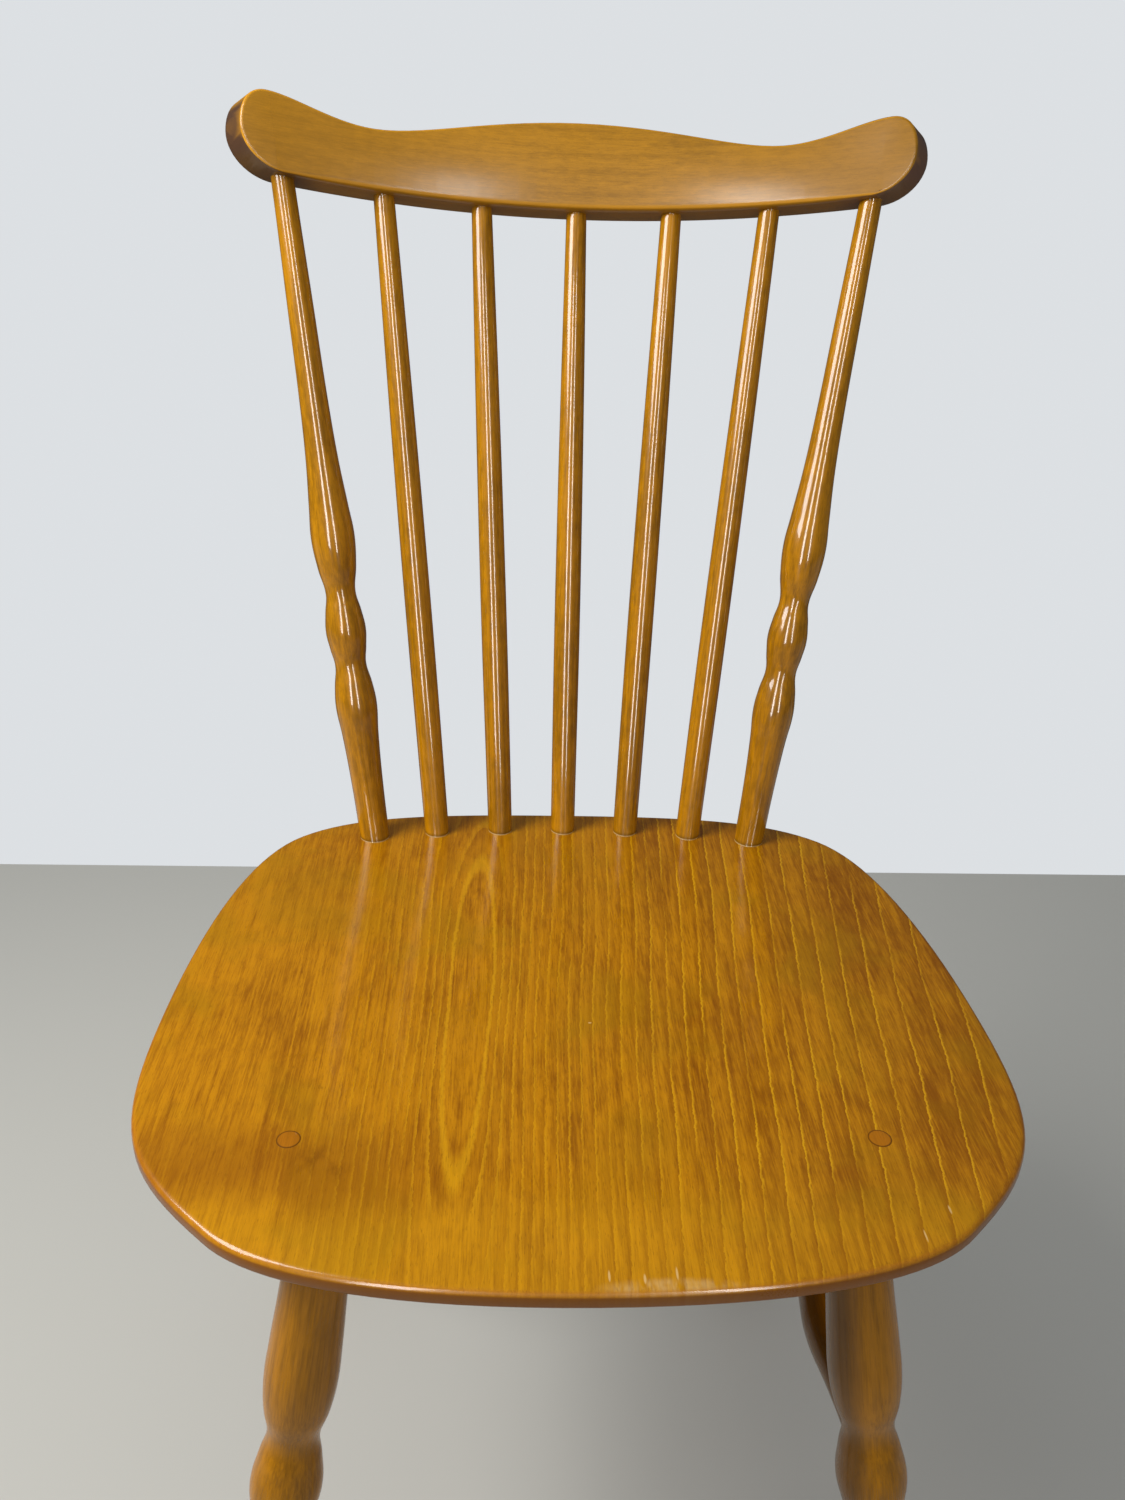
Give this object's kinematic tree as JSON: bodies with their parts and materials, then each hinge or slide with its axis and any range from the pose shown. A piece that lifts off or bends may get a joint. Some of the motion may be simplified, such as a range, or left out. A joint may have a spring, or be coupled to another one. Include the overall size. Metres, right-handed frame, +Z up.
{
  "type": "dining chair",
  "caption": "Wooden spindle-back dining chair with a shaped seat, a curved crest rail with ears, turned posts, turned splayed legs and an H stretcher",
  "frame": {"origin": "on the floor, under the middle of the chair's box", "axes": "+X to the right of someone facing the chair, +Y from the front of the chair to its back, +Z up"},
  "size_m": [0.428, 0.5532, 0.8903],
  "materials": {
    "seat_wood": "golden varnished beech, gloss, grain front to back",
    "plug_wood": "varnished beech plug, slightly redder than the seat",
    "rail_wood": "honey-brown varnished beech, gloss, short flecks along the rail",
    "turned_wood": "honey-brown varnished beech, gloss, grain along the piece",
    "leg_wood": "golden-brown varnished beech, gloss, grain along the piece"
  },
  "bodies": {
    "root": {"seat": "seat_wood", "seat_plug_left": "plug_wood", "seat_plug_right": "plug_wood", "crest_rail": "rail_wood", "spindle_1": "turned_wood", "spindle_2": "turned_wood", "spindle_3": "turned_wood", "spindle_4": "turned_wood", "spindle_5": "turned_wood", "post_left": "turned_wood", "post_right": "turned_wood", "leg_front_left": "leg_wood", "leg_front_right": "leg_wood", "leg_rear_left": "leg_wood", "leg_rear_right": "leg_wood", "side_stretcher_left": "leg_wood", "side_stretcher_right": "leg_wood", "cross_stretcher": "leg_wood"}
  },
  "joints": []
}
